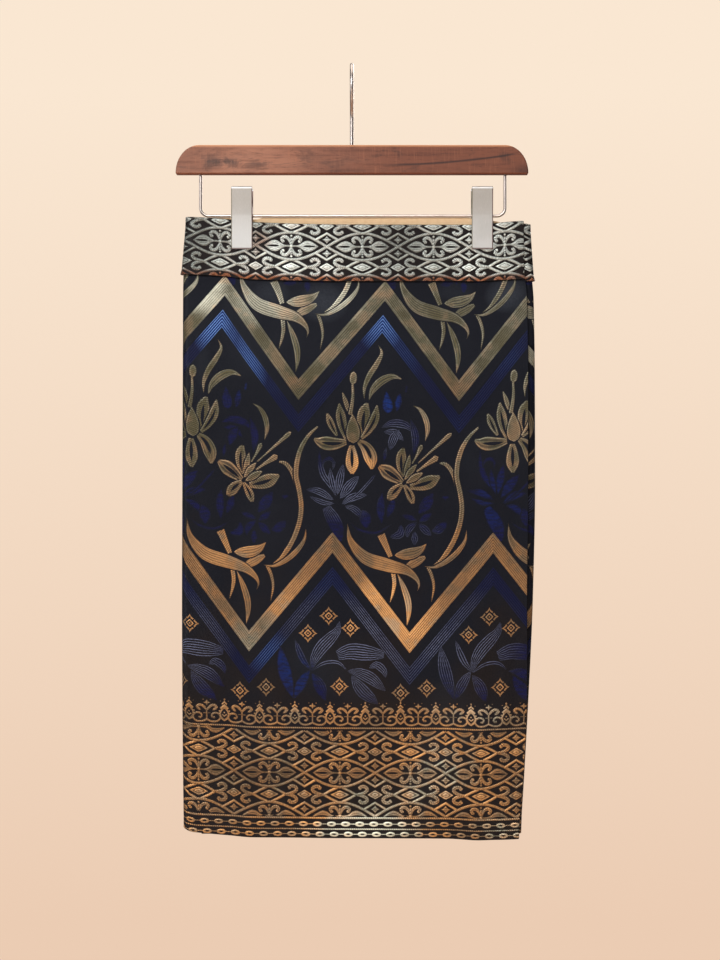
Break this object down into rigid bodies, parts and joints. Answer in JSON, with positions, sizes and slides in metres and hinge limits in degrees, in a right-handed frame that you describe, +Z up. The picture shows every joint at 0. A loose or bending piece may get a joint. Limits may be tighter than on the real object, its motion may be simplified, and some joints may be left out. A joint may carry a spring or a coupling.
{
  "type": "sampin on clip hanger",
  "caption": "Brocade wrap with a waistband, folded in three and hung by two metal clips from a wooden hanger with a wire hook.",
  "frame": {"origin": "inner top of the hook, where the rail bears", "axes": "+Z up along the hook's shank, +X to the right seen from the front, -Y towards the front of the garment"},
  "size_m": [0.3593, 0.0476, 0.7766],
  "materials": {
    "brocade": "charcoal satin ground woven with gold, copper and navy figures, gold lattice border along the hem",
    "band_brocade": "charcoal ground with a silver-gold lattice",
    "facing": "plain tan cotton",
    "walnut": "dark stained wood, satin varnish",
    "wire": "polished plated wire",
    "clip_steel": "satin plated sheet"
  },
  "bodies": {
    "root": {"wrap_front": "brocade", "wrap_back": "brocade", "wrap_under": "brocade", "band_front": "band_brocade", "band_back": "band_brocade", "band_under": "band_brocade", "band_facing": "facing", "wood_bar": "walnut", "hook": "wire", "clip_wire": "wire", "left_clip_front": "clip_steel", "left_clip_back": "clip_steel", "left_clip_spring": "wire", "right_clip_front": "clip_steel", "right_clip_back": "clip_steel", "right_clip_spring": "wire"}
  },
  "joints": []
}
